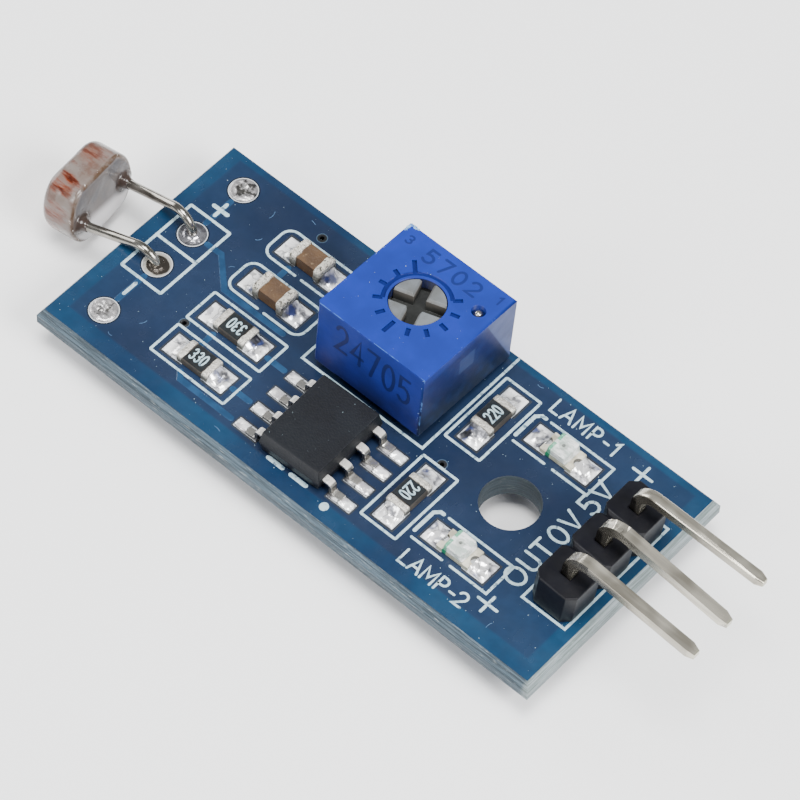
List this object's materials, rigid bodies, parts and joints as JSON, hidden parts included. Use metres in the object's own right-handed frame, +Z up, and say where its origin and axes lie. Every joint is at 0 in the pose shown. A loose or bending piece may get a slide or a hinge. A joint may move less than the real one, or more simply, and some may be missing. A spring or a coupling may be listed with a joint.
{
  "type": "light sensor module",
  "caption": "Small circuit board that senses light: a photoresistor bent out over one end, an adjustable trimmer, a comparator chip, indicator lamps, a mounting hole and a bent pin header.",
  "frame": {"origin": "middle of the mounting hole at the board's underside", "axes": "+X along the board from the photoresistor to the pin header, +Y to the trimmer's side, +Z up out of the side with the parts"},
  "size_m": [0.0434, 0.0146, 0.0082],
  "materials": {
    "board_sheet": "satin, fibrous at its snapped edges",
    "solder_mask": "glossy blue film",
    "tinned_copper": "bright tin",
    "solder": "bright, slightly rippled",
    "ceramic": "fired ceramic",
    "resistor_glaze": "glossy black glaze",
    "end_plating": "dull tin",
    "capacitor_ceramic": "fired ceramic",
    "lamp_board": "satin",
    "lamp_resin": "milky clear",
    "lamp_crystal": "cut crystal",
    "tinned_wire": "bright tin",
    "electrode_metal": "matt metal film",
    "light_sensitive_line": "matt",
    "clear_resin": "glossy, milky",
    "trimmer_case": "satin moulded",
    "rotor_plastic": "satin moulded",
    "spring_metal": "rolled",
    "seal_rubber": "matt",
    "resistive_ink": "matt print",
    "sealing_resin": "glossy potting",
    "chip_moulding": "fine matt moulding",
    "lead_metal": "tinned",
    "copper_alloy": "rolled",
    "silicon": "polished",
    "header_plastic": "glossy black"
  },
  "bodies": {
    "board": {"board_core": "board_sheet", "mask_top": "solder_mask", "mask_bottom": "solder_mask", "surface_pads": "tinned_copper", "plated_holes": "tinned_copper", "sensor_disc": "ceramic", "sensor_electrodes": "electrode_metal", "sensor_track": "light_sensitive_line", "sensor_coat": "clear_resin", "sensor_lead_near": "tinned_wire", "sensor_lead_far": "tinned_wire", "trimmer_housing": "trimmer_case", "trimmer_seal_ring": "seal_rubber", "trimmer_substrate": "ceramic", "trimmer_element": "resistive_ink", "trimmer_resin": "sealing_resin", "trimmer_pin_1": "tinned_wire", "trimmer_pin_2": "tinned_wire", "trimmer_pin_3": "tinned_wire", "chip_body": "chip_moulding", "chip_leads": "lead_metal", "chip_paddle": "copper_alloy", "chip_die": "silicon", "resistor_1_ceramic": "ceramic", "resistor_1_film": "resistor_glaze", "resistor_1_ends": "end_plating", "resistor_2_ceramic": "ceramic", "resistor_2_film": "resistor_glaze", "resistor_2_ends": "end_plating", "resistor_3_ceramic": "ceramic", "resistor_3_film": "resistor_glaze", "resistor_3_ends": "end_plating", "resistor_4_ceramic": "ceramic", "resistor_4_film": "resistor_glaze", "resistor_4_ends": "end_plating", "capacitor_1_block": "capacitor_ceramic", "capacitor_1_ends": "end_plating", "capacitor_2_block": "capacitor_ceramic", "capacitor_2_ends": "end_plating", "lamp_1_base": "lamp_board", "lamp_1_lens": "lamp_resin", "lamp_1_die": "lamp_crystal", "lamp_1_ends": "end_plating", "lamp_2_base": "lamp_board", "lamp_2_lens": "lamp_resin", "lamp_2_die": "lamp_crystal", "lamp_2_ends": "end_plating", "header_block": "header_plastic", "header_pin_1": "tinned_wire", "header_pin_2": "tinned_wire", "header_pin_3": "tinned_wire", "solder_sensor": "solder", "solder_trimmer": "solder", "solder_header": "solder", "solder_round_pads": "solder", "solder_chip": "solder", "solder_chip_parts": "solder"},
    "trimmer_head": {"trimmer_rotor": "rotor_plastic", "trimmer_wiper": "spring_metal"}
  },
  "joints": [
    {"name": "trimmer_turns", "type": "hinge", "parent": "board", "child": "trimmer_head", "pos_m": [-0.00911, 0.00312, 0.00566], "axis": [0, 0.0523, 0.9986], "range_deg": [-149, 111]}
  ]
}
